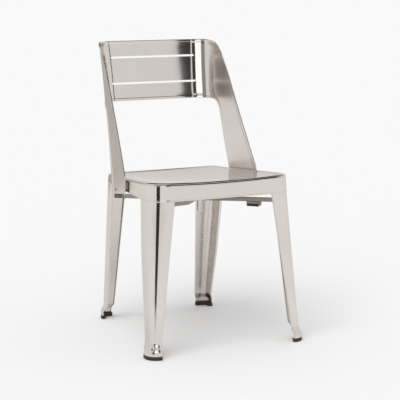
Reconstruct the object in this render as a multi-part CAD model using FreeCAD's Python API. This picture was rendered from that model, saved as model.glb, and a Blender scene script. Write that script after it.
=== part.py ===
import FreeCAD, Part
import math
import os

# Metal bistro chair, millimetres.
# +Z is up and the sitter faces -Y. Each piece on the +X side is drawn, the other mirrored.
# The origin lies on the floor under the middle of the chair.

V = FreeCAD.Vector

# sheet and clearances
sheet = 1.5                  # thickness of every pressed sheet part
gap = 0.3                    # clearance between neighbouring pieces
overrun = 30.0               # cutting shapes run this far past what they cut

# seat pan
skirt_bottom_z = 410.0
skirt_depth = 51.5           # from the skirt bottom to the rim top at the front corners
seat_front_z = skirt_bottom_z + skirt_depth
seat_fall = 0.064            # the seat falls this much per mm towards the back
skirt_front_y = -221.5       # outside of the skirt at its bottom edge
skirt_rear_y = 187.5
side_mid_x = 194.6           # half width of the skirt at side_mid_y
side_mid_y = -12.0
side_taper = 0.098           # the sides come together towards the back
side_bow_r = 8500.0          # and bulge a little
front_corner_r = 50.0
rear_corner_r = 34.0
front_draft = 0.05           # the skirt narrows by this per mm of height
rear_draft = 0.13
side_draft = 0.03
rim_r = 8.0                  # rounding between seat top and skirt
front_dip = 5.0              # the front rim hangs this much in the middle
dish = 7.0                   # depth of the seat hollow
hem_depth = 5.0              # folded hem along the bottom of the skirt
hem_bulge = 0.6

# legs, measured at the shoulder (skirt bottom) and at the ankle
ankle_z = 45.0
sole_z = 5.5                 # lower end of the sheet, inside the rubber boot
cuff_z = 15.0                # the flared foot is upright below this height
front_ankle = dict(x=222.5, y=-244.0, r=18.0, inner=27.0, side=55.0, lip=4.0)
front_cuff = dict(x=235.5, y=-254.0, r=30.0, inner=35.5, side=42.0, lip=2.2)
front_inner_top = 65.0       # front flange, from the sharp corner
front_side_top = 85.0        # side flange, from the sharp corner
front_knee_z = 274.0         # the side flange starts to taper here
front_side_knee = 82.5
rear_ankle = dict(x=165.8, y=235.6, r=15.0, inner=33.0, side=37.0, lip=5.0)
rear_cuff = dict(x=174.0, y=241.0, r=25.0, inner=34.5, side=32.0, lip=2.2)
rear_inner_top = 57.5
rear_side_top = 57.0
rear_knee_z = 180.0
rear_side_knee = 50.0
front_lip = 6.0              # folded lip on the free edges of a front leg
rear_lip = 9.0
leg_tuck = 6.0               # a leg ends this far below the seat sheet

# rubber boots
boot_height = 10.5
boot_wall = 1.5              # rubber outside the sheet
boot_inside = 7.0            # rubber inside the angle
boot_floor = 5.2

# corner plates inside the legs
plate_bottom_z = 298.0
plate_margin = 8.0           # the plate stays this far from the leg lips

# crossed braces under the seat
brace_width = 18.0
brace_height = 9.5
brace_front_z = 393.0        # top of a brace at the front legs
brace_rear_z = 372.5         # top of a brace at the rear legs
joggle_flat = 26.0           # half length of the lowered middle of the lower brace
joggle_run = 125.0           # length of the slope beside it
rivet_d = 6.0
rivet_head_d = 11.0
rivet_head_h = 2.2

# stacking bumpers below the braces
bumper_from_end = 86.5       # from the front end of the brace to the bumper middle
bumper_length = 36.0
bumper_width = 22.0
bracket_height = 4.5
pad_height = 7.5
screw_head_d = 8.0
screw_head_h = 2.5
screw_shank_d = 4.0

# back band with its two arms
panel_z = 757.4              # height where the panel position is given
panel_y = 239.1              # front face of the panel at that height
panel_lean = 0.1556          # the panel moves back this much per mm of height
bend_r = 60.0                # bend between the panel and the arm, inner face
arm_x = 200.3                # inner face of the arm at arm_y and arm_z
arm_y = -21.0
arm_z = 455.0
arm_taper = 0.126            # the arms come together towards the back
arm_twist = 0.000236         # more so towards the top, per mm of height
arm_bow = 0.000223           # the front edges curve apart towards the top
band_top_z = 803.0
panel_height = 170.0
band_bottom_z = band_top_z - panel_height
top_corner_r = 82.0
arch_r = 46.0
arm_bottom_z = 411.0
tab_bottom_z = 402.0
tab_rear_y = 6.0
front_foot = (-24.5, 451.0)  # points (y, z) on the front edge of an arm
front_bend = (127.5, band_top_z - 90.8)
front_upper = (174.0, band_top_z - 24.0)
front_bend_r = 500.0         # gentle bend at the middle point of the front edge
rear_edge_low = (103.8, 411.0)
rear_edge_high = (157.0, 600.0)
band_hem = 7.0               # folded hem around the whole band
band_hem_outside = 0.8       # the hem stands out by this
band_hem_inside = 0.5
slot_half = 131.7
slot_height = 5.7
slot_drops = [46.8, 120.7]   # from the top edge to the middle of each slot

# spacers between skirt and arm
spacer_length = 16.0
spacer_bottom_z = 417.0
spacer_height = 18.0
spacer_y = -4.0


def lerp(a, b, t):
    return a + (b - a) * t


def unit(v):
    return v.multiply(1.0 / v.Length)


# Seat pan.

def skirt_plan(z, inset):
    """Outline values of the skirt at height z, moved inwards by inset."""
    rise = z - skirt_bottom_z
    normal = unit(V(1.0, side_taper, 0.0))
    side_r = side_bow_r - side_draft * rise - inset
    side_centre = V(side_mid_x, side_mid_y, 0.0) - normal * side_bow_r
    return dict(front_y=skirt_front_y + front_draft * rise + inset,
                rear_y=skirt_rear_y - rear_draft * rise - inset,
                side_r=side_r, side_centre=side_centre,
                front_r=front_corner_r - inset, rear_r=rear_corner_r - inset)


def side_x(plan, y):
    """Half width of the skirt at y."""
    centre = plan["side_centre"]
    return centre.x + math.sqrt(plan["side_r"] ** 2 - (y - centre.y) ** 2)


def corner_of_skirt(plan, rear):
    """Centre of a rounded corner of the skirt and its tangent point on the side."""
    r = plan["rear_r"] if rear else plan["front_r"]
    y = plan["rear_y"] - r if rear else plan["front_y"] + r
    centre = plan["side_centre"]
    x = centre.x + math.sqrt((plan["side_r"] - r) ** 2 - (y - centre.y) ** 2)
    middle = V(x, y, 0.0)
    return middle, middle + unit(middle - centre) * r


def round_corner(corner, d1, d2, r):
    """Tangent points and middle of an arc of radius r in the corner of d1 and d2."""
    angle = d1.getAngle(d2)
    reach = r / math.tan(angle / 2.0)
    bisector = unit(d1 + d2)
    middle = corner + bisector * (r / math.sin(angle / 2.0) - r)
    return corner + d1 * reach, middle, corner + d2 * reach


def seat_outline(z, inset):
    """Closed outline of the skirt at height z, moved inwards by inset."""
    plan = skirt_plan(z, inset)
    half = []
    for rear in (False, True):
        r = plan["rear_r"] if rear else plan["front_r"]
        away = V(0.0, 1.0 if rear else -1.0, 0.0)
        centre, side_point = corner_of_skirt(plan, rear)
        end_point = centre + away * r
        arc_point = centre + unit(side_point - centre + away * r) * r
        points = [end_point, arc_point, side_point]
        half += reversed(points) if rear else points
    side_middle = V(side_x(plan, side_mid_y), side_mid_y, 0.0)
    half.insert(3, side_middle)
    right = [V(p.x, p.y, z) for p in half]
    left = [V(-p.x, p.y, z) for p in reversed(half)]
    ring = right + left
    edges = []
    for i in (0, 2, 4, 7, 9, 11):
        edges.append(Part.Arc(ring[i], ring[i + 1], ring[i + 2]).toShape())
    edges.append(Part.makeLine(right[-1], left[0]))
    edges.append(Part.makeLine(left[-1], right[0]))
    return Part.Wire(Part.__sortEdges__(edges))


def seat_height(x, y, lowered):
    """Height of the seat top above the floor."""
    slope_drop = seat_fall * (y - skirt_front_y)
    across = x / side_mid_x
    along = (y - skirt_front_y) / (skirt_rear_y - skirt_front_y)
    hollow = front_dip * (1.0 - along) ** 2 + 4.0 * dish * along * (1.0 - along)
    return seat_front_z - slope_drop - hollow * (1.0 - across * across) - lowered


def seat_body(inset, floor_z):
    """Solid below the seat top, inside the skirt outline."""
    steps = 4
    x_reach = side_mid_x + overrun
    y_low = skirt_front_y - overrun
    y_high = skirt_rear_y + overrun
    grid = []
    for i in range(steps + 1):
        x = lerp(-x_reach, x_reach, i / steps)
        row = []
        for j in range(steps + 1):
            y = lerp(y_low, y_high, j / steps)
            row.append(V(x, y, seat_height(x, y, inset)))
        grid.append(row)
    surface = Part.BSplineSurface()
    surface.interpolate(grid)
    below = surface.toShape().extrude(V(0, 0, -2.0 * skirt_depth - overrun))
    ceiling_z = seat_front_z + overrun
    prism = Part.makeLoft([seat_outline(floor_z, inset), seat_outline(ceiling_z, inset)], True, True)
    body = prism.common(below).Solids[0]
    rim = []
    for edge in body.Edges:
        box = edge.BoundBox
        upright = box.ZLength > skirt_depth / 2.0 and max(box.XLength, box.YLength) < rim_r
        if box.ZMin > floor_z + sheet and not upright:
            rim.append(edge)
    return body.makeFillet(rim_r - inset, rim)


def make_seat_pan():
    outer = seat_body(0.0, skirt_bottom_z)
    inner = seat_body(sheet, skirt_bottom_z - 5.0)
    pan = outer.cut(inner)
    hem_top = skirt_bottom_z + hem_depth
    hem_outer = Part.makeLoft([seat_outline(skirt_bottom_z, -hem_bulge),
                               seat_outline(hem_top, -hem_bulge)], True, True)
    hem_inner = Part.makeLoft([seat_outline(skirt_bottom_z - 1.0, sheet / 2.0),
                               seat_outline(hem_top + 1.0, sheet / 2.0)], True, True)
    hem = hem_outer.cut(hem_inner)
    return pan.fuse(hem).removeSplitter()


# Legs and their rubber boots.

def side_line(rear, z):
    """Chord that a side flange follows inside the skirt: start point and direction."""
    plan = skirt_plan(z, sheet + gap)
    middle, start = corner_of_skirt(plan, rear)
    if rear:
        y = plan["rear_y"] - rear_side_top
    else:
        y = plan["front_y"] + front_side_top
    end = V(side_x(plan, y), y, 0.0)
    return plan, start, unit(end - start)


def side_direction(rear):
    """Direction of the side flange in plan, from the corner inwards."""
    plan, start, direction = side_line(rear, skirt_bottom_z)
    return direction


def angle_section(corner, d2, inner, side, r, thick, lips=None):
    """Closed outline of a rounded angle: one flange along -X, the other along d2."""
    d1 = V(-1.0, 0.0, 0.0)
    angle = d1.getAngle(d2)
    n1 = unit(d2 - d1 * d1.dot(d2))
    n2 = unit(d1 - d2 * d1.dot(d2))
    inside = corner + (d1 + d2) * (thick / math.sin(angle))
    o1, om, o2 = round_corner(corner, d1, d2, r)
    i1, im, i2 = round_corner(inside, d1, d2, r - thick)
    e1 = corner + d1 * inner
    e2 = corner + d2 * side
    if lips is None:
        end1 = [e1, e1 + n1 * thick]
        end2 = [e2 + n2 * thick, e2]
    else:
        end1 = [e1, e1 + n1 * lips, e1 + n1 * lips - d1 * thick, e1 - d1 * thick + n1 * thick]
        end2 = [e2 - d2 * thick + n2 * thick, e2 + n2 * lips - d2 * thick, e2 + n2 * lips, e2]
    edges = [Part.Arc(o2, om, o1).toShape()]
    chain = [o1] + end1 + [i1]
    for a, b in zip(chain, chain[1:]):
        edges.append(Part.makeLine(a, b))
    edges.append(Part.Arc(i1, im, i2).toShape())
    chain = [i2] + end2 + [o2]
    for a, b in zip(chain, chain[1:]):
        edges.append(Part.makeLine(a, b))
    return Part.Wire(edges)


def leg_shoulder(rear, z):
    """Leg section values where the leg lies against the inside of the skirt."""
    plan, start, direction = side_line(rear, z)
    direction = side_direction(rear)
    y = plan["rear_y"] if rear else plan["front_y"]
    x = start.x + direction.x * (y - start.y) / direction.y
    if rear:
        return dict(x=x, y=y, r=plan["rear_r"], inner=rear_inner_top, side=rear_side_top, lip=rear_lip)
    return dict(x=x, y=y, r=plan["front_r"], inner=front_inner_top, side=front_side_top, lip=front_lip)


def leg_values(rear, z):
    """Leg section values at any height above the ankle."""
    top = leg_shoulder(rear, min(max(z, skirt_bottom_z), seat_front_z))
    if z >= skirt_bottom_z:
        return top
    low = rear_ankle if rear else front_ankle
    t = (skirt_bottom_z - z) / (skirt_bottom_z - ankle_z)
    values = {}
    for key in ("x", "y", "r", "inner", "lip"):
        values[key] = lerp(top[key], low[key], t)
    if rear:
        knots = [(skirt_bottom_z, rear_side_top), (rear_knee_z, rear_side_knee),
                 (ankle_z, rear_ankle["side"])]
    else:
        knots = [(skirt_bottom_z, front_side_top), (front_knee_z, front_side_knee),
                 (ankle_z, front_ankle["side"])]
    for (z1, s1), (z2, s2) in zip(knots, knots[1:]):
        if z2 <= z <= z1:
            values["side"] = lerp(s1, s2, (z1 - z) / (z1 - z2))
    return values


def leg_section(rear, z, values):
    corner = V(values["x"], values["y"], z)
    return angle_section(corner, side_direction(rear), values["inner"], values["side"],
                         values["r"], sheet, values["lip"])


def foot_values(rear, z):
    """Section values in the flare between ankle and cuff."""
    top = rear_ankle if rear else front_ankle
    low = rear_cuff if rear else front_cuff
    t = (ankle_z - z) / (ankle_z - cuff_z)
    ease = t * t * (3.0 - 2.0 * t)
    values = {}
    for key in top:
        values[key] = lerp(top[key], low[key], ease)
    return values


def leg_top_z(rear):
    if rear:
        y = skirt_rear_y - rear_corner_r
    else:
        y = skirt_front_y + front_corner_r
    x = side_x(skirt_plan(skirt_bottom_z, 0.0), y)
    return seat_height(x, y, 0.0) - rim_r - leg_tuck


def make_leg(rear):
    """Leg of the +X side."""
    knee_z = rear_knee_z if rear else front_knee_z
    heights = [leg_top_z(rear), skirt_bottom_z, knee_z, ankle_z]
    shaft = Part.makeLoft([leg_section(rear, z, leg_values(rear, z)) for z in heights], True, True)
    flare_steps = 5
    flare = []
    for i in range(flare_steps + 1):
        z = lerp(ankle_z, cuff_z, i / flare_steps)
        flare.append(leg_section(rear, z, foot_values(rear, z)))
    flared = Part.makeLoft(flare, True, False)
    cuff = leg_section(rear, cuff_z, rear_cuff if rear else front_cuff)
    upright = Part.Face(cuff).extrude(V(0, 0, sole_z - cuff_z))
    return shaft.fuse([flared, upright]).removeSplitter()


def make_boot(rear):
    """Rubber boot on the foot of the +X side, an angle with a slot for the sheet."""
    cuff = rear_cuff if rear else front_cuff
    d2 = side_direction(rear)
    outward = V(1.0, 0.0, 0.0) - d2

    def angle_solid(margin, thick, z1, z2):
        corner = V(cuff["x"], cuff["y"], z1) + outward * margin
        face = Part.Face(angle_section(corner, d2, cuff["inner"] + 2.0 * margin,
                                       cuff["side"] + 2.0 * margin, cuff["r"] + margin, thick))
        return face.extrude(V(0, 0, z2 - z1))

    slot_width = cuff["lip"] + 2.0 * gap
    body = angle_solid(gap + boot_wall, boot_wall + slot_width + boot_inside, 0.0, boot_height)
    slot = angle_solid(gap, slot_width, boot_floor, boot_height + 1.0)
    return body.cut(slot)


def make_corner_plate(rear):
    """Rounded angle plate lying in the corner of the leg on the +X side."""
    d2 = side_direction(rear)
    inwards = V(-1.0, 0.0, 0.0) + d2
    offset = sheet + gap
    sections = []
    for z in (leg_top_z(rear) - leg_tuck, skirt_bottom_z, plate_bottom_z):
        v = leg_values(rear, z)
        angle = V(-1.0, 0.0, 0.0).getAngle(d2)
        corner = V(v["x"], v["y"], z) + inwards * (offset / math.sin(angle))
        sections.append(angle_section(corner, d2, v["inner"] - plate_margin, v["side"] - plate_margin,
                                      v["r"] - offset, sheet))
    return Part.makeLoft(sections, True, True)


# Crossed braces and stacking bumpers.

def corner_arc_centre(rear, z):
    """Centre and inner radius of the corner plate at height z on the +X side."""
    v = leg_values(rear, z)
    d1 = V(-1.0, 0.0, 0.0)
    d2 = side_direction(rear)
    angle = d1.getAngle(d2)
    centre = V(v["x"], v["y"], 0.0) + unit(d1 + d2) * (v["r"] / math.sin(angle / 2.0))
    return centre, v["r"] - 2.0 * sheet - gap


def brace_ends():
    """Front and rear end points in plan of the brace from front +X to rear -X."""
    front, front_r = corner_arc_centre(False, brace_front_z)
    rear, rear_r = corner_arc_centre(True, brace_rear_z)
    rear = V(-rear.x, rear.y, 0.0)
    along = unit(rear - front)
    half = brace_width / 2.0
    front_end = front - along * (math.sqrt(front_r ** 2 - half ** 2) - gap)
    rear_end = rear + along * (math.sqrt(rear_r ** 2 - half ** 2) - gap)
    return front_end, rear_end


def brace_top_line(lowered):
    """Top line of a brace as (distance from the front end, height)."""
    front_end, rear_end = brace_ends()
    length = (rear_end - front_end).Length
    along = unit(rear_end - front_end)
    middle = front_end.x / -along.x
    if not lowered:
        return [(0.0, brace_front_z), (length, brace_rear_z)], length, middle
    middle_z = lerp(brace_front_z, brace_rear_z, middle / length) - brace_height - gap
    fall = (brace_front_z - brace_rear_z) / length
    low_a = middle_z - fall * joggle_flat
    line = [(0.0, brace_front_z)]
    start = middle - joggle_flat - joggle_run
    line.append((start, brace_front_z - fall * start))
    line.append((middle - joggle_flat, low_a))
    line.append((middle + joggle_flat, low_a))
    end = middle + joggle_flat + joggle_run
    line.append((end, brace_front_z - fall * end))
    line.append((length, brace_rear_z))
    return line, length, middle


def strip(line, depth, y1, y2):
    """Plate between the top line and the same line lowered by depth."""
    top = [V(s, y1, z) for s, z in line]
    low = [V(s, y1, z - depth) for s, z in reversed(line)]
    face = Part.Face(Part.makePolygon(top + low + [top[0]]))
    return face.extrude(V(0, y2 - y1, 0))


def place_on_brace(shape, mirrored):
    """Move a shape drawn along +X onto the brace line."""
    front_end, rear_end = brace_ends()
    along = rear_end - front_end
    angle = math.degrees(math.atan2(along.y, along.x))
    shape.rotate(V(0, 0, 0), V(0, 0, 1), angle)
    shape.translate(front_end)
    if mirrored:
        return shape.mirror(V(0, 0, 0), V(1, 0, 0))
    return shape


def make_brace(lowered):
    line, length, middle = brace_top_line(lowered)
    half = brace_width / 2.0
    web = strip(line, sheet, -half, half)
    flange_a = strip(line, brace_height, -half, -half + sheet)
    flange_b = strip(line, brace_height, half - sheet, half)
    brace = web.fuse([flange_a, flange_b]).removeSplitter()
    hole = Part.makeCylinder(rivet_d / 2.0 + gap, 60.0, V(middle, 0, brace_rear_z - 30.0))
    return place_on_brace(brace.cut(hole), lowered)


def make_brace_rivet():
    """Rivet through the crossing of the two braces."""
    line, length, middle = brace_top_line(False)
    upper_top = lerp(brace_front_z, brace_rear_z, middle / length)
    lower_line, length, middle = brace_top_line(True)
    lower_top = lower_line[2][1]
    fall = (brace_front_z - brace_rear_z) / length
    tilt_room = fall * rivet_head_d / 2.0
    head_z = upper_top + gap + tilt_room
    foot_z = lower_top - sheet - gap
    shank = Part.makeCylinder(rivet_d / 2.0, head_z - foot_z, V(0, 0, foot_z))
    head = Part.makeCylinder(rivet_head_d / 2.0, rivet_head_h, V(0, 0, head_z))
    head = head.makeFillet(rivet_head_h * 0.6, [head.Edges[0]])
    foot = Part.makeCylinder(rivet_head_d / 2.0, rivet_head_h, V(0, 0, foot_z - rivet_head_h))
    rivet = shank.fuse([head, foot]).removeSplitter()
    rivet.translate(V(middle, 0, 0))
    return place_on_brace(rivet, False)


def bumper_plane():
    """Lower edge of a brace beside the bumper: height at its lowest corner."""
    line, length, middle = brace_top_line(False)
    fall = (brace_front_z - brace_rear_z) / length
    far = bumper_from_end + bumper_length / 2.0
    return brace_front_z - fall * far - brace_height - gap


def make_bumper_bracket():
    """Inverted tray below the brace with an end plate beside the rubber."""
    top = bumper_plane()
    x1 = bumper_from_end - bumper_length / 2.0
    half = bumper_width / 2.0
    tray = Part.makeBox(bumper_length, bumper_width, bracket_height, V(x1, -half, top - bracket_height))
    hollow = Part.makeBox(bumper_length - 2.0 * sheet, bumper_width - 2.0 * sheet, bracket_height,
                          V(x1 + sheet, -half + sheet, top - bracket_height - sheet))
    end_plate = Part.makeBox(sheet, bumper_width, bracket_height + pad_height * 0.8,
                             V(x1, -half, top - bracket_height - pad_height * 0.8))
    hole = Part.makeCylinder(screw_shank_d / 2.0 + gap, 4.0 * sheet, V(bumper_from_end, 0, top - 2.0 * sheet))
    return tray.cut(hollow).fuse(end_plate).removeSplitter().cut(hole)


def make_bumper_pad():
    top = bumper_plane() - bracket_height - gap
    x1 = bumper_from_end - bumper_length / 2.0 + sheet + gap
    x2 = bumper_from_end + bumper_length / 2.0
    half = bumper_width / 2.0
    pad = Part.makeBox(x2 - x1, bumper_width, pad_height, V(x1, -half, top - pad_height))
    upright = [e for e in pad.Edges if abs(e.Vertexes[0].Z - e.Vertexes[1].Z) > 1.0]
    pad = pad.makeFillet(3.0, upright)
    sink = Part.makeCylinder(screw_head_d / 2.0 + gap, screw_head_h + 1.0,
                             V(bumper_from_end, 0, top - pad_height))
    bore = Part.makeCylinder(screw_shank_d / 2.0 + gap, pad_height + 2.0,
                             V(bumper_from_end, 0, top - pad_height - 1.0))
    return pad.cut(sink).cut(bore)


def make_bumper_screw():
    pad_top = bumper_plane() - bracket_height - gap
    head_top = pad_top - pad_height + screw_head_h + 1.0 - gap
    head = Part.makeCylinder(screw_head_d / 2.0, screw_head_h, V(bumper_from_end, 0, head_top - screw_head_h))
    shank = Part.makeCylinder(screw_shank_d / 2.0, bumper_plane() + 2.0 - head_top,
                              V(bumper_from_end, 0, head_top))
    return head.fuse(shank).removeSplitter()


# Back and arms, one bent sheet.

def arm_taper_at(z):
    return arm_taper + arm_twist * (z - arm_z)


def arm_inner_x(y, z):
    return arm_x - arm_taper_at(z) * (y - arm_y) + arm_bow * (z - arm_z) ** 2


def panel_front_y(z):
    return panel_y + panel_lean * (z - panel_z)


def band_section(z, inner_side, outer_side, reach_y):
    """Closed plan outline of the band at height z, between two sheet faces."""
    arm_dir = unit(V(arm_taper_at(z), -1.0, 0.0))
    arm_out = V(-arm_dir.y, arm_dir.x, 0.0)

    def face_points(offset):
        side = V(arm_inner_x(0.0, z), 0.0, z) + arm_out * offset
        y = panel_front_y(z) + offset
        corner = side + arm_dir * ((y - side.y) / arm_dir.y)
        start, middle, end = round_corner(corner, arm_dir, V(-1.0, 0.0, 0.0), bend_r + offset)
        front = side + arm_dir * ((reach_y - side.y) / arm_dir.y)
        right = [front, start, middle, end]
        return right + [V(-p.x, p.y, p.z) for p in reversed(right)]

    def run(q):
        return [Part.makeLine(q[0], q[1]), Part.Arc(q[1], q[2], q[3]).toShape(), Part.makeLine(q[3], q[4]),
                Part.Arc(q[4], q[5], q[6]).toShape(), Part.makeLine(q[6], q[7])]

    inner = face_points(inner_side)
    outer = face_points(outer_side)
    edges = run(outer) + run(inner)
    edges.append(Part.makeLine(outer[0], inner[0]))
    edges.append(Part.makeLine(outer[7], inner[7]))
    return Part.Wire(Part.__sortEdges__(edges))


def band_sheet(inner_side, outer_side):
    low = tab_bottom_z - overrun
    high = band_top_z + overrun
    reach = front_foot[0] - overrun
    steps = 4
    sections = []
    for i in range(steps + 1):
        sections.append(band_section(lerp(low, high, i / steps), inner_side, outer_side, reach))
    return Part.makeLoft(sections, True, False)


def band_side_outline():
    """Outline of the band seen from the side."""
    foot, bend, upper = [V(0.0, y, z) for y, z in (front_foot, front_bend, front_upper)]
    rise = unit(upper - bend)
    back = V(0.0, 1.0, 0.0)
    top_corner = bend + rise * ((band_top_z - bend.z) / rise.z)
    b1, bm, b2 = round_corner(bend, unit(foot - bend), rise, front_bend_r)
    t1, tm, t2 = round_corner(top_corner, rise * -1.0, back, top_corner_r)
    low = V(0.0, rear_edge_low[0], rear_edge_low[1])
    up = unit(V(0.0, rear_edge_high[0], rear_edge_high[1]) - low)
    arch_corner = low + up * ((band_bottom_z - low.z) / up.z)
    a1, am, a2 = round_corner(arch_corner, back, up * -1.0, arch_r)
    far = panel_front_y(band_top_z) + overrun
    panel = [t2, V(0.0, far, band_top_z), V(0.0, far, band_bottom_z), a1]
    arm = [a2, low, V(0.0, tab_rear_y, arm_bottom_z), V(0.0, tab_rear_y, tab_bottom_z),
           V(0.0, foot.y, tab_bottom_z), foot, b1]
    edges = [Part.Arc(b1, bm, b2).toShape(), Part.Arc(t1, tm, t2).toShape(), Part.Arc(a1, am, a2).toShape()]
    for chain in (panel, arm, [b2, t1]):
        for a, b in zip(chain, chain[1:]):
            edges.append(Part.makeLine(a, b))
    return Part.Wire(Part.__sortEdges__(edges))


def side_prism(wire):
    reach = arm_inner_x(front_foot[0], band_top_z) + overrun
    face = Part.Face(wire)
    face.translate(V(-reach, 0, 0))
    return face.extrude(V(2.0 * reach, 0, 0))


def make_slots():
    cutters = []
    r = slot_height / 2.0
    reach = slot_half - r
    y = panel_front_y(band_bottom_z) - overrun
    depth = panel_front_y(band_top_z) + overrun - y
    for drop in slot_drops:
        z = band_top_z - drop
        box = Part.makeBox(2.0 * reach, depth, slot_height, V(-reach, y, z - r))
        end_a = Part.makeCylinder(r, depth, V(-reach, y, z), V(0, 1, 0))
        end_b = Part.makeCylinder(r, depth, V(reach, y, z), V(0, 1, 0))
        cutters.append(box.fuse([end_a, end_b]))
    return cutters


def make_back_band():
    outline = band_side_outline()
    plain = band_sheet(0.0, sheet).common(side_prism(outline.makeOffset2D(-band_hem / 2.0)))
    for slot in make_slots():
        plain = plain.cut(slot)
    raised = band_sheet(-band_hem_inside, sheet + band_hem_outside)
    hem = raised.common(side_prism(outline)).cut(side_prism(outline.makeOffset2D(-band_hem)))
    return plain.fuse(hem)


def make_arm_spacer():
    """Block between the skirt and the arm on the +X side."""
    z1 = spacer_bottom_z
    z2 = z1 + spacer_height
    y1 = spacer_y - spacer_length / 2.0
    y2 = spacer_y + spacer_length / 2.0
    plan = skirt_plan(z1, -gap)
    points = [V(side_x(plan, y1), y1, z1), V(side_x(plan, y2), y2, z1),
              V(arm_inner_x(y2, z2) - gap, y2, z1), V(arm_inner_x(y1, z2) - gap, y1, z1)]
    return Part.Face(Part.makePolygon(points + [points[0]])).extrude(V(0, 0, z2 - z1))


# Mirrored copies and files.

def mirrored(shape):
    return shape.mirror(V(0, 0, 0), V(1, 0, 0))


def depth_shift():
    """Shift along Y that puts the middle of the chair's depth on the origin."""
    front = front_cuff["y"] - gap - boot_wall
    back = panel_front_y(band_top_z) + sheet + band_hem_outside
    return -(front + back) / 2.0


def save(name, shape):
    solids = shape.translated(V(0.0, depth_shift(), 0.0)).Solids
    out = solids[0] if len(solids) == 1 else Part.makeCompound(solids)
    out.exportStep("parts/" + name + ".step")
    print(name, len(solids), round(out.Volume), out.BoundBox)


os.makedirs("parts", exist_ok=True)
save("seat_pan", make_seat_pan())
save("back_band", make_back_band())
for end, rear in (("front", False), ("rear", True)):
    leg = make_leg(rear)
    boot = make_boot(rear)
    plate = make_corner_plate(rear)
    save("leg_" + end + "_right", leg)
    save("leg_" + end + "_left", mirrored(leg))
    save("boot_" + end + "_right", boot)
    save("boot_" + end + "_left", mirrored(boot))
    save("corner_plate_" + end + "_right", plate)
    save("corner_plate_" + end + "_left", mirrored(plate))
save("brace_upper", make_brace(False))
save("brace_lower", make_brace(True))
save("brace_rivet", make_brace_rivet())
for side, flip in (("right", False), ("left", True)):
    save("bumper_bracket_" + side, place_on_brace(make_bumper_bracket(), flip))
    save("bumper_pad_" + side, place_on_brace(make_bumper_pad(), flip))
screws = [place_on_brace(make_bumper_screw(), False), place_on_brace(make_bumper_screw(), True)]
save("bumper_screws", Part.makeCompound(screws))
spacer = make_arm_spacer()
save("arm_spacers", Part.makeCompound([spacer, mirrored(spacer)]))
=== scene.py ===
import math
import bpy
import bmesh
from mathutils import Matrix, Vector


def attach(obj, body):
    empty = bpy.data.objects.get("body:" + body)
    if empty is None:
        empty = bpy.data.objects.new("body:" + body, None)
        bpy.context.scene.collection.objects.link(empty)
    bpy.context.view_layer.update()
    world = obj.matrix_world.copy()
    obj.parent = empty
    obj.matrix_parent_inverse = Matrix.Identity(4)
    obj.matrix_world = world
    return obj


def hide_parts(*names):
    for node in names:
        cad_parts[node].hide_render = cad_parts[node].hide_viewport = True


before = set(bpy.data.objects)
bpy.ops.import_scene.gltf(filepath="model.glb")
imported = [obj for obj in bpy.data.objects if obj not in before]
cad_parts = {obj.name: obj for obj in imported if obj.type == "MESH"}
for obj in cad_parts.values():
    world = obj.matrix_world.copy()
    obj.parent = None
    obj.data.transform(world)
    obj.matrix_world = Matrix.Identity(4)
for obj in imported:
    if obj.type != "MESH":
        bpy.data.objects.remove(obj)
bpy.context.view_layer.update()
print("frame loaded")


# pieces copied from the frame: merge distance, edges kept sharp, and rounding of the rubber ones
copied = dict(merge=2e-5, sharpAngle=32.0, rubberRound=0.0007, roundAbove=40.0)


# small helpers for meshes
def linkPiece(name, mesh, material, slotName, *nodes):
    piece = bpy.data.objects.new(name, mesh)
    bpy.context.scene.collection.objects.link(piece)
    piece.data.materials.clear()
    piece.data.materials.append(material)
    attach(piece, "root")
    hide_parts(*nodes)
    return piece


def smoothCopy(node):
    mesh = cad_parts[node].data.copy()
    bm = bmesh.new()
    bm.from_mesh(mesh)
    bmesh.ops.remove_doubles(bm, verts=bm.verts, dist=copied["merge"])
    bm.to_mesh(mesh)
    bm.free()
    mesh.shade_smooth()
    mesh.set_sharp_from_angle(angle=math.radians(copied["sharpAngle"]))
    return mesh


# materials
def newMaterial(name):
    material = bpy.data.materials.new(name)
    material.use_nodes = True
    tree = material.node_tree
    tree.nodes.clear()
    output = tree.nodes.new("ShaderNodeOutputMaterial")
    shader = tree.nodes.new("ShaderNodeBsdfPrincipled")
    tree.links.new(shader.outputs["BSDF"], output.inputs["Surface"])
    return material, tree, shader


def noiseNode(tree, coords, scale, stretch=(1, 1, 1), detail=3.0):
    mapping = tree.nodes.new("ShaderNodeMapping")
    mapping.inputs["Scale"].default_value = stretch
    tree.links.new(coords, mapping.inputs["Vector"])
    noise = tree.nodes.new("ShaderNodeTexNoise")
    noise.inputs["Scale"].default_value = scale
    noise.inputs["Detail"].default_value = detail
    tree.links.new(mapping.outputs["Vector"], noise.inputs["Vector"])
    return noise.outputs["Fac"]


def rangeNode(tree, value, low, high, fromLow=0.3, fromHigh=0.7):
    node = tree.nodes.new("ShaderNodeMapRange")
    node.inputs["From Min"].default_value = fromLow
    node.inputs["From Max"].default_value = fromHigh
    node.inputs["To Min"].default_value = low
    node.inputs["To Max"].default_value = high
    tree.links.new(value, node.inputs["Value"])
    return node.outputs["Result"]


def mixColours(tree, factor, first, second):
    node = tree.nodes.new("ShaderNodeMix")
    node.data_type = "RGBA"
    node.inputs["A"].default_value = (*first, 1)
    node.inputs["B"].default_value = (*second, 1)
    tree.links.new(factor, node.inputs["Factor"])
    return node.outputs["Result"]


def bumpNode(tree, height, distance, strength=1.0, normal=None):
    node = tree.nodes.new("ShaderNodeBump")
    node.inputs["Distance"].default_value = distance
    node.inputs["Strength"].default_value = strength
    tree.links.new(height, node.inputs["Height"])
    if normal is not None:
        tree.links.new(normal, node.inputs["Normal"])
    return node.outputs["Normal"]


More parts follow.
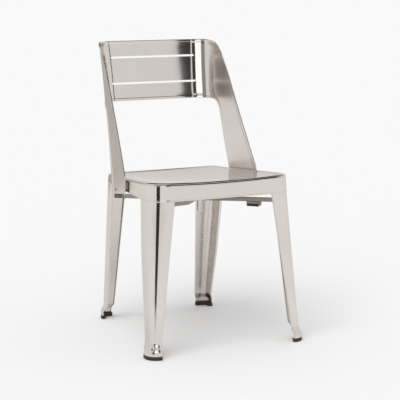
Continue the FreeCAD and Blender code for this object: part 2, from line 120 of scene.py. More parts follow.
def addHaze(tree, coords, rough, look):
    # duller polish towards both sides of the piece
    split = tree.nodes.new("ShaderNodeSeparateXYZ")
    tree.links.new(coords, split.inputs[0])
    aside = tree.nodes.new("ShaderNodeMath")
    aside.operation = "ABSOLUTE"
    tree.links.new(split.outputs["X"], aside.inputs[0])
    total = tree.nodes.new("ShaderNodeMath")
    total.operation = "ADD"
    tree.links.new(rangeNode(tree, aside.outputs[0], 0.0, look["haze"], *look["hazeFrom"]), total.inputs[0])
    tree.links.new(rough, total.inputs[1])
    return total.outputs[0]


def makeSteel(name, look):
    material, tree, shader = newMaterial(name)
    coords = tree.nodes.new("ShaderNodeTexCoord").outputs["Object"]
    cloud = noiseNode(tree, coords, look["cloudScale"], (1, 1, 1), 4.0)
    grain = noiseNode(tree, coords, look["grainScale"], look["grainStretch"], 2.0)
    wave = noiseNode(tree, coords, look["waveScale"], (1, 1, 1), 1.0)
    colour = mixColours(tree, rangeNode(tree, cloud, 0, 1), look["dark"], look["light"])
    tree.links.new(colour, shader.inputs["Base Color"])
    roughness = tree.nodes.new("ShaderNodeMath")
    roughness.operation = "ADD"
    tree.links.new(rangeNode(tree, cloud, look["roughLow"], look["roughHigh"]), roughness.inputs[0])
    tree.links.new(rangeNode(tree, grain, 0.0, look["grainRough"]), roughness.inputs[1])
    rough = roughness.outputs[0]
    if "haze" in look:
        rough = addHaze(tree, coords, rough, look)
    tree.links.new(rough, shader.inputs["Roughness"])
    normal = bumpNode(tree, wave, look["waveHeight"])
    normal = bumpNode(tree, grain, look["grainHeight"], 1.0, normal)
    tree.links.new(normal, shader.inputs["Normal"])
    shader.inputs["Metallic"].default_value = 1.0
    shader.inputs["Specular Tint"].default_value = look["edgeTint"]
    return material


polishedLook = dict(dark=(0.68, 0.63, 0.595), light=(0.74, 0.695, 0.66), edgeTint=(0.84, 0.82, 0.8, 1),
                    cloudScale=6.0, grainScale=60.0, grainStretch=(1, 1, 14), grainRough=0.03,
                    grainHeight=0.000006, roughLow=0.06, roughHigh=0.1, waveScale=9.0, waveHeight=0.0005)
innerLook = dict(dark=(0.56, 0.51, 0.46), light=(0.68, 0.635, 0.59), edgeTint=(0.8, 0.77, 0.74, 1),
                 cloudScale=9.0, grainScale=70.0, grainStretch=(1, 1, 10), grainRough=0.08,
                 grainHeight=0.00004, roughLow=0.2, roughHigh=0.32, waveScale=11.0, waveHeight=0.001)
braceLook = dict(dark=(0.30, 0.275, 0.225), light=(0.40, 0.365, 0.31), edgeTint=(0.75, 0.72, 0.68, 1),
                 cloudScale=14.0, grainScale=90.0, grainStretch=(1, 1, 6), grainRough=0.1,
                 grainHeight=0.00005, roughLow=0.25, roughHigh=0.42, waveScale=14.0, waveHeight=0.0006)
polishedSteel = makeSteel("polishedSteel", polishedLook)
rearLegSteel = makeSteel("rearLegSteel", dict(polishedLook, roughLow=0.2, roughHigh=0.28))
bandSteel = makeSteel("bandSteel", dict(polishedLook, haze=0.16, hazeFrom=(0.164, 0.176)))
innerSteel = makeSteel("innerSteel", innerLook)
braceSteel = makeSteel("braceSteel", braceLook)


rubberLook = dict(dark=(0.012, 0.011, 0.010), light=(0.03, 0.028, 0.026), grain=900.0, cloud=35.0,
                  roughLow=0.45, roughHigh=0.7, grainHeight=0.0002, grainStrength=0.6)


def makeRubber(look):
    material, tree, shader = newMaterial("footRubber")
    coords = tree.nodes.new("ShaderNodeTexCoord").outputs["Object"]
    cloud = noiseNode(tree, coords, look["cloud"], (1, 1, 1), 5.0)
    grain = noiseNode(tree, coords, look["grain"], (1, 1, 1), 2.0)
    colour = mixColours(tree, rangeNode(tree, cloud, 0, 1), look["dark"], look["light"])
    tree.links.new(colour, shader.inputs["Base Color"])
    tree.links.new(rangeNode(tree, cloud, look["roughLow"], look["roughHigh"]), shader.inputs["Roughness"])
    tree.links.new(bumpNode(tree, grain, look["grainHeight"], look["grainStrength"]), shader.inputs["Normal"])
    return material


footRubber = makeRubber(rubberLook)
print("materials made")

# shared building steps; the measures below are millimetres, meshes end up in metres
depthShift = 3.65    # the same shift that centres the frame front to back


mergeDistance = 0.00001


def shapedGrid(columns, rows, place):
    bm = bmesh.new()
    bmesh.ops.create_grid(bm, x_segments=columns, y_segments=rows, size=1.0)
    bm.verts.ensure_lookup_table()
    for index, vert in enumerate(bm.verts):
        row, column = divmod(index, columns + 1)
        x, y, z = place(column, row)
        vert.co = Vector((x, y + depthShift, z)) * 0.001
    bmesh.ops.remove_doubles(bm, verts=bm.verts, dist=mergeDistance)
    return bm


def meshFrom(bm, name, sharpAngle):
    bmesh.ops.recalc_face_normals(bm, faces=bm.faces)
    closed = not any(e.is_boundary for e in bm.edges)
    if closed and bm.calc_volume(signed=True) < 0:    # a deep open angle can come out inside out
        bmesh.ops.reverse_faces(bm, faces=bm.faces)
    mesh = bpy.data.meshes.new(name)
    bm.to_mesh(mesh)
    bm.free()
    mesh.shade_smooth()
    mesh.set_sharp_from_angle(angle=math.radians(sharpAngle))
    return mesh


def mix(a, b, t):
    return a + (b - a) * t


def roundedCorner(corner, first, second, radius, steps):
    # points of an arc from the first side of a corner to the second
    first = first.normalized()
    second = second.normalized()
    half = first.angle(second) / 2.0
    centre = corner + (first + second).normalized() * (radius / math.sin(half))
    start = corner + first * (radius / math.tan(half)) - centre
    end = corner + second * (radius / math.tan(half)) - centre
    sweep = start.angle(end)
    points = []
    for step in range(steps + 1):
        t = step / steps
        reach = start * math.sin((1 - t) * sweep) + end * math.sin(t * sweep)
        points.append(centre + reach / math.sin(sweep))
    return points


# seat pan
seat = dict(bottomZ=410.0, frontZ=461.5, fall=0.064, frontY=-221.5, rearY=187.5, sideX=194.6, sideY=-12.0,
            sideTaper=0.098, sideBow=8500.0, frontR=50.0, rearR=34.0, frontDraft=0.05, rearDraft=0.13,
            sideDraft=0.03, rimR=8.0, rimDepth=14.0, sink=2.4, sinkReach=0.06, frontDip=5.0, dish=7.0,
            hemDepth=5.0, hemBulge=0.6, thick=1.5, sharpAngle=60.0)


def seatPlan(z, inset):
    rise = z - seat["bottomZ"]
    normal = Vector((1.0, seat["sideTaper"])).normalized()
    centre = Vector((seat["sideX"], seat["sideY"])) - normal * seat["sideBow"]
    return dict(frontY=seat["frontY"] + seat["frontDraft"] * rise + inset,
                rearY=seat["rearY"] - seat["rearDraft"] * rise - inset,
                frontR=seat["frontR"] - inset, rearR=seat["rearR"] - inset,
                centre=centre, bow=seat["sideBow"] - seat["sideDraft"] * rise - inset)


def sideX(plan, y):
    return plan["centre"].x + math.sqrt(plan["bow"] ** 2 - (y - plan["centre"].y) ** 2)


def cornerCentre(plan, rear):
    radius = plan["rearR"] if rear else plan["frontR"]
    y = plan["rearY"] - radius if rear else plan["frontY"] + radius
    x = plan["centre"].x + math.sqrt((plan["bow"] - radius) ** 2 - (y - plan["centre"].y) ** 2)
    return Vector((x, y)), radius


def seatHeight(x, y):
    across = x / seat["sideX"]
    along = (y - seat["frontY"]) / (seat["rearY"] - seat["frontY"])
    hollow = seat["frontDip"] * (1 - along) ** 2 + 4 * seat["dish"] * along * (1 - along)
    return seat["frontZ"] - seat["fall"] * (y - seat["frontY"]) - hollow * (1 - across * across)


def seatOutline(z, inset, station):
    # station runs 0..5 from the middle of the front round the right side to the middle of the back
    plan = seatPlan(z, inset)
    front, frontR = cornerCentre(plan, False)
    rear, rearR = cornerCentre(plan, True)
    part = min(int(station), 4)
    t = station - part
    frontTurn = math.atan2(front.y - plan["centre"].y, front.x - plan["centre"].x)
    rearTurn = math.atan2(rear.y - plan["centre"].y, rear.x - plan["centre"].x)
    if part == 0:
        return front.x * t, plan["frontY"]
    if part == 1:
        turn = mix(-math.pi / 2, frontTurn, t)
        return front.x + frontR * math.cos(turn), front.y + frontR * math.sin(turn)
    if part == 2:
        y = mix(front.y + frontR * math.sin(frontTurn), rear.y + rearR * math.sin(rearTurn), t)
        return sideX(plan, y), y
    if part == 3:
        turn = mix(rearTurn, math.pi / 2, t)
        return rear.x + rearR * math.cos(turn), rear.y + rearR * math.sin(turn)
    return rear.x * (1 - t), plan["rearY"]


seatSteps = (18, 16, 26, 14, 16)    # along the front, corner, side, corner and back


def ringStations():
    stations = []
    for part, steps in enumerate(seatSteps):
        stations += [part + step / steps for step in range(steps)]
    return stations + [5.0]


def makeSeat():
    half = ringStations()
    ring = [(1, s) for s in half] + [(-1, s) for s in reversed(half)]
    rimSteps = 8
    levels = [("hem", 0.0), ("hem", 0.12), ("hem", 0.5), ("hem", 0.88), ("hem", 1.0)]
    levels += [("skirt", t) for t in (0.02, 0.25, 0.5, 0.75, 0.97)]
    levels += [("rim", step / rimSteps) for step in range(rimSteps + 1)]
    levels += [("top", t) for t in (0.01, 0.02, 0.03, 0.04, 0.05, 0.06, 0.08, 0.12, 0.2)]
    levels += [("top", t) for t in (0.3, 0.4, 0.5, 0.6, 0.7, 0.8, 0.88, 0.95, 0.995)]
    hemProfile = {0.0: 0.0, 0.12: 0.7, 0.5: 1.0, 0.88: 0.7, 1.0: 0.0}

    def place(column, row):
        sign, station = ring[column]
        kind, t = levels[row]
        rimR = seat["rimR"]
        hemTop = seat["bottomZ"] + seat["hemDepth"]
        rimDepth = seat["rimDepth"]
        x, y = seatOutline(seat["frontZ"], rimDepth, station)
        topZ = seatHeight(x, y)
        if kind == "hem":
            z = mix(seat["bottomZ"], hemTop, t)
            x, y = seatOutline(z, -seat["hemBulge"] * hemProfile[t], station)
        elif kind == "skirt":
            z = mix(hemTop, topZ - rimR, t)
            x, y = seatOutline(z, 0.0, station)
        elif kind == "rim":
            turn = t * math.pi / 2
            inset = rimDepth * (1 - math.cos(turn))
            x, y = seatOutline(topZ - rimR + rimR * math.sin(turn), inset, station)
            z = mix(topZ - rimR, seatHeight(x, y), math.sin(turn))
        else:
            middle = mix(seat["frontY"], seat["rearY"], 0.5)
            x, y = seatOutline(topZ, rimDepth, station)
            x, y = mix(x, 0.0, t), mix(y, middle, t)
            down = min(1.0, t / seat["sinkReach"])
            z = seatHeight(x, y) - seat["sink"] * down * down * (3 - 2 * down)
        return sign * x, y, z

    bm = shapedGrid(len(ring) - 1, len(levels) - 1, place)
    middleHeight = (seat["bottomZ"] + seat["hemDepth"]) * 0.001
    openEdges = [e for e in bm.edges if e.is_boundary and e.verts[0].co.z > middleHeight]
    bmesh.ops.holes_fill(bm, edges=openEdges)    # the middle of the top, not the open underside
    mesh = meshFrom(bm, "seatPan", seat["sharpAngle"])
    piece = linkPiece("seatPan", mesh, polishedSteel, "polished_steel", "seat_pan")
    addThickness(piece, seat["thick"])
    return piece


def addThickness(piece, thick):
    solid = piece.modifiers.new("sheetThickness", "SOLIDIFY")
    solid.thickness = thick * 0.001
    solid.offset = -1.0
    solid.use_even_offset = True


makeSeat()
print("seat pan made")

# back band
band = dict(panelZ=757.4, panelY=239.1, panelLean=0.1556, bendR=60.0, armX=200.3, armY=-21.0, armZ=455.0,
            armTaper=0.126, armTwist=0.000236, armBow=0.000223, topZ=803.0, bottomZ=633.0,
            topCornerR=82.0, archR=46.0, tabBottomZ=402.0,
            frontEdge=((-24.5, 451.0), (127.5, 712.2), (174.0, 779.0)), frontBendR=500.0,
            rearEdge=((103.8, 411.0), (157.0, 600.0)), hem=7.0, hemOutside=0.8, hemInside=0.5,
            slotHalf=131.7, slotHeight=5.7, slotHeights=(756.2, 682.3), slotSides=32, cutFromY=300.0,
            cutDepth=120.0, thick=1.5, sharpAngle=45.0, slotSharp=30.0)


def bandPlan(z):
    taper = band["armTaper"] + band["armTwist"] * (z - band["armZ"])
    length = math.hypot(taper, 1.0)
    along = Vector((taper / length, -1.0 / length))
    out = Vector((1.0 / length, taper / length))
    y = band["panelY"] + band["panelLean"] * (z - band["panelZ"])
    x0 = band["armX"] + taper * band["armY"] + band["armBow"] * (z - band["armZ"]) ** 2
    corner = Vector((x0 - taper * y, y))
    angle = math.acos(-taper / length)
    reach = band["bendR"] / math.tan(angle / 2)
    return dict(along=along, out=out, panelY=y, flat=corner.x - reach, sweep=math.pi - angle,
                armStart=corner + along * reach, centre=Vector((corner.x - reach, y - band["bendR"])))


def alongFromY(y, z):
    # distance along the section at height z, from the middle of the panel, of a side view point
    plan = bandPlan(z)
    if y <= plan["armStart"].y:
        extra = (plan["armStart"].y - y) / -plan["along"].y
        return plan["flat"] + band["bendR"] * plan["sweep"] + extra
    turn = math.acos(min(1.0, (y - plan["centre"].y) / band["bendR"]))
    return plan["flat"] + band["bendR"] * turn


def bandPoint(along, z, offset):
    plan = bandPlan(z)
    if along <= plan["flat"]:
        return along, plan["panelY"] + offset, z
    turn = (along - plan["flat"]) / band["bendR"]
    if turn <= plan["sweep"]:
        reach = band["bendR"] + offset
        return plan["centre"].x + reach * math.sin(turn), plan["centre"].y + reach * math.cos(turn), z
    extra = along - plan["flat"] - band["bendR"] * plan["sweep"]
    point = plan["armStart"] + plan["along"] * extra + plan["out"] * offset
    return point.x, point.y, z


bandSteps = dict(panel=40, corner=30, arm=46, hem=(0.0, 0.25, 0.9, 2.0, 5.2, 6.4, 7.0, 7.8), middle=12)


def bandEdges():
    # front/top edge and rear/lower edge, as points (along, z) from the panel's middle to the foot
    foot, bend, upper = [Vector(p) for p in band["frontEdge"]]
    rise = (upper - bend).normalized()
    topCorner = bend + rise * ((band["topZ"] - bend.y) / rise.y)
    arc = roundedCorner(topCorner, Vector((1, 0)), -rise, band["topCornerR"], bandSteps["corner"])
    bendArc = roundedCorner(bend, rise, foot - bend, band["frontBendR"], 8)
    low, high = [Vector(p) for p in band["rearEdge"]]
    up = (high - low).normalized()
    archCorner = low + up * ((band["bottomZ"] - low.y) / up.y)
    arch = roundedCorner(archCorner, Vector((1, 0)), -up, band["archR"], bandSteps["corner"])
    outer = []
    inner = []
    panel = bandSteps["panel"]
    topReach = alongFromY(arc[0].x, band["topZ"])
    lowReach = alongFromY(arch[0].x, band["bottomZ"])
    for step in range(panel):
        outer.append((topReach * step / panel, band["topZ"]))
        inner.append((lowReach * step / panel, band["bottomZ"]))
    for point in arc[:-1]:
        outer.append((alongFromY(point.x, point.y), point.y))
    for point in arch[:-1]:
        inner.append((alongFromY(point.x, point.y), point.y))
    frontLine = [arc[-1]] + bendArc + [foot, Vector((foot.x, band["tabBottomZ"]))]
    rearLine = [arch[-1], low]
    for step in range(bandSteps["arm"] + 1):
        t = step / bandSteps["arm"]
        for line, found in ((frontLine, outer), (rearLine, inner)):
            z = mix(line[0].y, line[-1].y, t)
            for a, b in zip(line, line[1:]):
                if b.y <= z <= a.y:
                    y = mix(a.x, b.x, (a.y - z) / max(a.y - b.y, 0.001))
            found.append((alongFromY(y, z), z))
    return [Vector(p) for p in outer], [Vector(p) for p in inner]


def sideNormals(line, side):
    normals = []
    for index in range(len(line)):
        before = line[max(index - 1, 0)]
        after = line[min(index + 1, len(line) - 1)]
        step = (after - before).normalized()
        normals.append(Vector((step.y, -step.x)) * side)
    return normals


def makeBand():
    outer, inner = bandEdges()
    outerIn = sideNormals(outer, 1)
    innerIn = sideNormals(inner, -1)
    hem = bandSteps["hem"]
    thick = band["thick"]
    high = thick + band["hemOutside"]
    low = -band["hemInside"]
    rises = (0.55, 0.78, 1.0, 1.0, 1.0, 1.0, 0.45, 0.0)
    across = []
    for distance, rise in zip(hem, rises):
        across.append(("outer", distance, rise))
    for step in range(1, bandSteps["middle"]):
        across.append(("middle", step / bandSteps["middle"], 0.0))
    for distance, rise in reversed(list(zip(hem, rises))):
        across.append(("inner", distance, rise))
    ring = [(1, a) for a in across] + [(0, a) for a in reversed(across)] + [(1, across[0])]
    last = len(outer) - 1

    def place(column, row):
        index = abs(column - last)
        face, (zone, value, rise) = ring[row]
        if zone == "outer":
            point = outer[index] + outerIn[index] * value
        elif zone == "inner":
            point = inner[index] + innerIn[index] * value
        else:
            start = outer[index] + outerIn[index] * hem[-1]
            end = inner[index] + innerIn[index] * hem[-1]
            point = start.lerp(end, value)
        if zone != "middle" and value == 0.0:
            offset = thick / 2
        elif face:
            offset = mix(thick, high, rise)
        else:
            offset = mix(0.0, low, rise)
        if zone != "middle" and 0.0 < value < 0.5:
            offset = mix(thick / 2, high if face else low, 0.75)
        x, y, z = bandPoint(max(point.x, 0.0), point.y, offset)
        return math.copysign(x, last - column), y, z

    bm = shapedGrid(2 * last, len(ring) - 1, place)
    bmesh.ops.holes_fill(bm, edges=[e for e in bm.edges if e.is_boundary])
    mesh = meshFrom(bm, "backBand", band["sharpAngle"])
    piece = linkPiece("backBand", mesh, bandSteel, "polished_steel", "back_band")
    cutSlots(piece)
    return piece


def cutSlots(piece):
    bm = bmesh.new()
    for z in band["slotHeights"]:
        radius = band["slotHeight"] / 2
        found = bmesh.ops.create_circle(bm, cap_ends=True, segments=band["slotSides"],
                                        radius=radius * 0.001)["verts"]
        for vert in found:
            vert.co.x += math.copysign(band["slotHalf"] - radius, vert.co.x) * 0.001
        turn = Matrix.Rotation(math.radians(90), 4, "X")
        place = Matrix.Translation(Vector((0, band["cutFromY"], z)) * 0.001) @ turn
        bmesh.ops.transform(bm, matrix=place, verts=found)
        faces = list({f for v in found for f in v.link_faces})
        pushed = bmesh.ops.extrude_face_region(bm, geom=faces)["geom"]
        moved = [g for g in pushed if isinstance(g, bmesh.types.BMVert)]
        bmesh.ops.translate(bm, verts=moved, vec=(0, -band["cutDepth"] * 0.001, 0))
        bmesh.ops.delete(bm, geom=faces, context="FACES_ONLY")
        bmesh.ops.holes_fill(bm, edges=[e for e in bm.edges if e.is_boundary])
    cutter = bpy.data.objects.new("slotCutter", meshFrom(bm, "slotCutter", band["slotSharp"]))
    bpy.context.scene.collection.objects.link(cutter)
    cut = piece.modifiers.new("slots", "BOOLEAN")
    cut.operation = "DIFFERENCE"
    cut.solver = "EXACT"
    cut.object = cutter
    applyModifiers(piece)
    piece.data.set_sharp_from_angle(angle=math.radians(band["slotSharp"]))
    bpy.data.objects.remove(cutter)


def applyModifiers(piece):
    bpy.context.view_layer.update()
    graph = bpy.context.evaluated_depsgraph_get()
    mesh = bpy.data.meshes.new_from_object(piece.evaluated_get(graph))
    piece.modifiers.clear()
    piece.data = mesh


makeBand()
print("back band made")

# legs
legs = dict(
    front=dict(rear=False, flareTop=45.0, flareLow=15.0, kneeZ=274.0, innerTop=65.0, sideTop=85.0,
               sideKnee=82.5, lipTop=6.0,
               ankle=dict(x=222.5, y=-244.0, r=18.0, inner=27.0, side=55.0, lip=4.0),
               cuff=dict(x=235.5, y=-254.0, r=30.0, inner=35.5, side=42.0, lip=2.2)),
    rear=dict(rear=True, flareTop=41.0, flareLow=20.0, kneeZ=180.0, innerTop=57.5, sideTop=57.0,
              sideKnee=50.0, lipTop=9.0,
              ankle=dict(x=165.8, y=234.2, r=15.0, inner=33.0, side=37.0, lip=5.0),
              cuff=dict(x=174.0, y=241.0, r=25.0, inner=34.5, side=32.0, lip=2.2)),
    dentZ=31.0, dentR=5.0, dentDepth=1.5, ankleZ=45.0, cuffZ=15.0, soleZ=5.5, clearance=0.3, thick=1.5,
    foldR=2.2, tuck=6.0, cornerSteps=22, foldSteps=4, flareSteps=20, sharpAngle=45.0)


def sideStart(rear, z):
    plan = seatPlan(z, seat["thick"] + legs["clearance"])
    centre, radius = cornerCentre(plan, rear)
    start = centre + (centre - plan["centre"]).normalized() * radius
    return plan, start, radius


def sideDirection(leg):
    rear = leg["rear"]
    plan, start, radius = sideStart(rear, seat["bottomZ"])
    y = plan["rearY"] - leg["sideTop"] if rear else plan["frontY"] + leg["sideTop"]
    return (Vector((sideX(plan, y), y)) - start).normalized()


def legValues(leg, z):
    rear = leg["rear"]
    direction = sideDirection(leg)
    plan, start, radius = sideStart(rear, max(z, seat["bottomZ"]))
    y = plan["rearY"] if rear else plan["frontY"]
    x = start.x + direction.x * (y - start.y) / direction.y
    top = dict(x=x, y=y, r=radius, inner=leg["innerTop"], side=leg["sideTop"], lip=leg["lipTop"])
    if z >= seat["bottomZ"]:
        return top
    ankle = leg["ankle"]
    cuff = leg["cuff"]
    if z <= legs["ankleZ"]:
        t = (leg["flareTop"] - z) / (leg["flareTop"] - leg["flareLow"])
        t = max(0.0, min(1.0, t))
        ease = t * t * (3 - 2 * t)
        return {key: mix(ankle[key], cuff[key], ease) for key in ankle}
    t = (seat["bottomZ"] - z) / (seat["bottomZ"] - legs["ankleZ"])
    values = {key: mix(top[key], ankle[key], t) for key in ankle}
    if z >= leg["kneeZ"]:
        low = (seat["bottomZ"] - z) / (seat["bottomZ"] - leg["kneeZ"])
        values["side"] = mix(leg["sideTop"], leg["sideKnee"], low)
    else:
        low = (leg["kneeZ"] - z) / (leg["kneeZ"] - legs["ankleZ"])
        values["side"] = mix(leg["sideKnee"], ankle["side"], low)
    return values


def legPath(leg, z):
    # outer face of the folded angle at height z, from one lip round the corner to the other
    values = legValues(leg, z)
    first = Vector((-1.0, 0.0))
    second = sideDirection(leg)
    corner = Vector((values["x"], values["y"]))
    inFirst = (second - first * first.dot(second)).normalized()
    inSecond = (first - second * second.dot(first)).normalized()
    fold = min(legs["foldR"], values["lip"] * 0.7)
    arc = roundedCorner(corner, first, second, values["r"], legs["cornerSteps"])
    if not leg["rear"]:
        arc = dented(arc, z)
    end1 = corner + first * values["inner"]
    end2 = corner + second * values["side"]
    fold1 = roundedCorner(end1, inFirst, -first, fold, legs["foldSteps"])
    fold2 = roundedCorner(end2, -second, inSecond, fold, legs["foldSteps"])
    flange1 = [fold1[-1].lerp(arc[0], t) for t in (0.25, 0.5, 0.75)]
    flange2 = [arc[-1].lerp(fold2[0], t) for t in (0.2, 0.4, 0.6, 0.8)]
    tip1 = end1 + inFirst * values["lip"]
    tip2 = end2 + inSecond * values["lip"]
    return [tip1] + fold1 + flange1 + arc + flange2 + fold2 + [tip2]


def dented(arc, z):
    # the pressed mark in the corner of a front foot
    middle = arc[len(arc) // 2]
    inward = ((arc[0] + arc[-1]) / 2 - middle).normalized()
    moved = []
    for point in arc:
        away = math.hypot((point - middle).length, z - legs["dentZ"]) / legs["dentR"]
        moved.append(point + inward * (legs["dentDepth"] * math.exp(-away * away * 2)))
    return moved


def insideOf(path, thick):
    # the same line moved by the sheet thickness to the hollow side of the angle
    inside = []
    for index, point in enumerate(path):
        before = (point - path[max(index - 1, 0)])
        after = (path[min(index + 1, len(path) - 1)] - point)
        if before.length == 0:
            before = after
        if after.length == 0:
            after = before
        before.normalize()
        after.normalize()
        along = (before + after).normalized()
        reach = thick / max(along.dot(before), 0.7)
        inside.append(point + Vector((along.y, -along.x)) * reach)
    return inside


def makeLeg(end, side):
    leg = legs[end]
    mirrorX = -1 if side == "left" else 1
    cornerY = seat["rearY"] - seat["rearR"] if leg["rear"] else seat["frontY"] + seat["frontR"]
    cornerX = sideX(seatPlan(seat["bottomZ"], 0.0), cornerY)
    topZ = seatHeight(cornerX, cornerY) - seat["rimR"] - legs["tuck"]
    heights = [topZ, 425.0, 412.0, seat["bottomZ"]]
    heights += [mix(seat["bottomZ"], leg["kneeZ"], t) for t in (0.25, 0.5, 0.75, 1.0)]
    heights += [mix(leg["kneeZ"], legs["ankleZ"], t) for t in (0.2, 0.4, 0.6, 0.8, 0.92, 0.97, 1.0)]
    flare = legs["flareSteps"]
    heights += [mix(legs["ankleZ"], legs["cuffZ"], step / flare) for step in range(1, flare + 1)]
    heights += [12.0, 9.0, legs["soleZ"]]
    rings = []
    for z in heights:
        path = legPath(leg, z)
        hollow = insideOf(path, legs["thick"] * (-1 if leg["rear"] else 1))
        rings.append(path + list(reversed(hollow)) + [path[0]])

    def place(column, row):
        point = rings[row][column]
        return mirrorX * point.x, point.y, heights[row]

    bm = shapedGrid(len(rings[0]) - 1, len(heights) - 1, place)
    bmesh.ops.holes_fill(bm, edges=[e for e in bm.edges if e.is_boundary])
    name = "leg" + end.capitalize() + side.capitalize()
    mesh = meshFrom(bm, name, legs["sharpAngle"])
    steel = rearLegSteel if leg["rear"] else polishedSteel
    return linkPiece(name, mesh, steel, "polished_steel", "leg_" + end + "_" + side)


for end in ("front", "rear"):
    for side in ("left", "right"):
        makeLeg(end, side)
print("legs made")

def softenEdges(piece):
    soft = piece.modifiers.new("softEdges", "BEVEL")
    soft.width = copied["rubberRound"]
    soft.segments = 2
    soft.limit_method = "ANGLE"
    soft.angle_limit = math.radians(copied["roundAbove"])


# pieces taken over from the frame, with smooth normals
plainPieces = [
    ("braceUpperSkin", "brace_upper", braceSteel, "brace_steel"),
    ("braceLowerSkin", "brace_lower", braceSteel, "brace_steel"),
    ("braceRivetSkin", "brace_rivet", braceSteel, "fastener_steel"),
    ("bumperScrewSkin", "bumper_screws", braceSteel, "fastener_steel"),
    ("armSpacerSkin", "arm_spacers", innerSteel, "inner_steel"),
]
for end in ("front", "rear"):
    for side in ("left", "right"):
        corner = end + "_" + side
        label = end.capitalize() + side.capitalize()
        plainPieces.append(("boot" + label, "boot_" + corner, footRubber, "rubber"))
        plainPieces.append(("cornerPlate" + label, "corner_plate_" + corner, rearLegSteel, "inner_steel"))
for side in ("left", "right"):
    label = side.capitalize()
    plainPieces.append(("bumperBracket" + label, "bumper_bracket_" + side, braceSteel, "brace_steel"))
    plainPieces.append(("bumperPad" + label, "bumper_pad_" + side, footRubber, "rubber"))
for name, node, material, slotName in plainPieces:
    piece = linkPiece(name, smoothCopy(node), material, slotName, node)
    if material == footRubber:
        softenEdges(piece)
print("pieces dressed")


# studio: a white floor and tent, one soft sun, and cards that only the metal mirrors
studio = dict(white=0.925, fill=0.74, tent=0.86, floorAlbedo=0.9, floorSize=40.0, sunPower=1.2, sunAngle=50.0,
              sunFrom=(-0.55, -0.45, 1.0), cardTint=(1.0, 0.95, 0.91, 1), cameraSide=-116.14)
roundCards = dict(    # upright cards round the chair: turns from the camera side, heights, distance, tone
    leftFlag=((-33, -13), (0.0, 1.1), 3.0, 0.035),
    brownCard=((-35, -13), (1.1, 2.4), 3.0, 0.33),
    frontBox=((-12, 22), (0.95, 1.75), 3.05, 1.7),
    rightFlag=((24, 43.5), (0.95, 1.9), 3.1, 0.04),
    highFrontFlag=((20, 110), (1.95, 6.5), 3.0, 0.04),
    highLeftFlag=((-60, 20), (2.4, 6.5), 3.0, 0.04),
    highRearFlag=((140, 222), (1.95, 6.0), 3.0, 0.04))
nearCards = dict(    # cards close to the chair: both ends on the floor plan, heights, tone
    greyCard=((-0.42, 0.9), (-0.13, 0.9), (0.28, 0.8), 0.6),
    nearFlag=((0.279, -0.165), (0.52, -0.30), (0.68, 1.0), 0.05))


def makeFloor():
    material = bpy.data.materials.new("studioFloor")
    material.use_nodes = True
    tree = material.node_tree
    shader = tree.nodes["Principled BSDF"]
    albedo = studio["floorAlbedo"]
    shader.inputs["Base Color"].default_value = (albedo, albedo, albedo, 1)
    shader.inputs["Roughness"].default_value = 1.0
    shader.inputs["Specular IOR Level"].default_value = 0.0
    bm = bmesh.new()
    bmesh.ops.create_grid(bm, x_segments=2, y_segments=2, size=studio["floorSize"])
    mesh = bpy.data.meshes.new("studioFloor")
    bm.to_mesh(mesh)
    bm.free()
    floor = bpy.data.objects.new("studioFloor", mesh)
    bpy.context.scene.collection.objects.link(floor)
    mesh.materials.append(material)


def makeWorld():
    # one tone for the camera, one for what the metal mirrors and one for the light itself
    world = bpy.data.worlds.new("studioWorld")
    world.use_nodes = True
    bpy.context.scene.world = world
    tree = world.node_tree
    light = tree.nodes.new("ShaderNodeLightPath")
    white, fill, tent = [(studio[key],) * 3 for key in ("white", "fill", "tent")]
    plain = mixColours(tree, light.outputs["Is Camera Ray"], fill, white)
    mirrored = mixColours(tree, light.outputs["Is Glossy Ray"], fill, tent)
    tree.links.new(plain, mirrored.node.inputs["A"])
    background = tree.nodes["Background"]
    tree.links.new(mirrored, background.inputs["Color"])
    background.inputs["Strength"].default_value = 1.0


def addSun():
    data = bpy.data.lights.new("softSun", "SUN")
    data.energy = studio["sunPower"]
    data.angle = math.radians(studio["sunAngle"])
    lamp = bpy.data.objects.new("softSun", data)
    lamp.rotation_euler = Vector(studio["sunFrom"]).to_track_quat("Z", "Y").to_euler()
    lamp.visible_glossy = False
    bpy.context.scene.collection.objects.link(lamp)


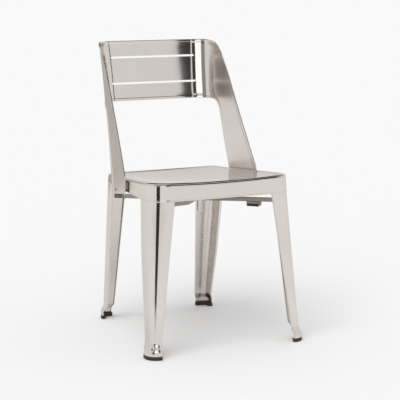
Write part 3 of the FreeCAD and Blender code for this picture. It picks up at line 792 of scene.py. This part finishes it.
def cardMaterial(name, tone):
    material = bpy.data.materials.new(name)
    material.use_nodes = True
    tree = material.node_tree
    tree.nodes.clear()
    output = tree.nodes.new("ShaderNodeOutputMaterial")
    glow = tree.nodes.new("ShaderNodeEmission")
    glow.inputs["Color"].default_value = studio["cardTint"]
    glow.inputs["Strength"].default_value = tone
    tree.links.new(glow.outputs["Emission"], output.inputs["Surface"])
    return material


def addCard(name, start, end, heights, tone):
    bm = bmesh.new()
    bmesh.ops.create_grid(bm, x_segments=1, y_segments=1, size=1.0)
    bm.verts.ensure_lookup_table()
    corners = [(*foot, height) for height in heights for foot in (start, end)]
    for vert, corner in zip(bm.verts, corners):
        vert.co = corner
    mesh = bpy.data.meshes.new(name)
    bm.to_mesh(mesh)
    bm.free()
    mesh.materials.append(cardMaterial(name, tone))
    card = bpy.data.objects.new(name, mesh)
    bpy.context.scene.collection.objects.link(card)
    card.visible_camera = False
    card.visible_diffuse = False
    card.visible_shadow = False


def around(turn, reach):
    # a spot on the floor plan by its turn from the camera side, plus is to the right
    angle = math.radians(studio["cameraSide"] + turn)
    return math.cos(angle) * reach, math.sin(angle) * reach


makeFloor()
makeWorld()
addSun()
for name, (turns, heights, reach, tone) in roundCards.items():
    addCard(name, around(turns[0], reach), around(turns[1], reach), heights, tone)
for name, (start, end, heights, tone) in nearCards.items():
    addCard(name, start, end, heights, tone)
print("studio built")

# camera
cameraView = dict(place=(-1.6397, -3.40995, 1.0187), tilt=80.29, turn=-26.14, lens=123.86,
                  sensor=36.0, far=60.0)
cameraData = bpy.data.cameras.new("photoCamera")
cameraData.sensor_width = cameraView["sensor"]
cameraData.lens = cameraView["lens"]
cameraData.clip_end = cameraView["far"]
camera = bpy.data.objects.new("photoCamera", cameraData)
camera.location = cameraView["place"]
camera.rotation_euler = (math.radians(cameraView["tilt"]), 0, math.radians(cameraView["turn"]))
bpy.context.scene.collection.objects.link(camera)
bpy.context.scene.camera = camera
bpy.context.scene.view_settings.view_transform = "Standard"
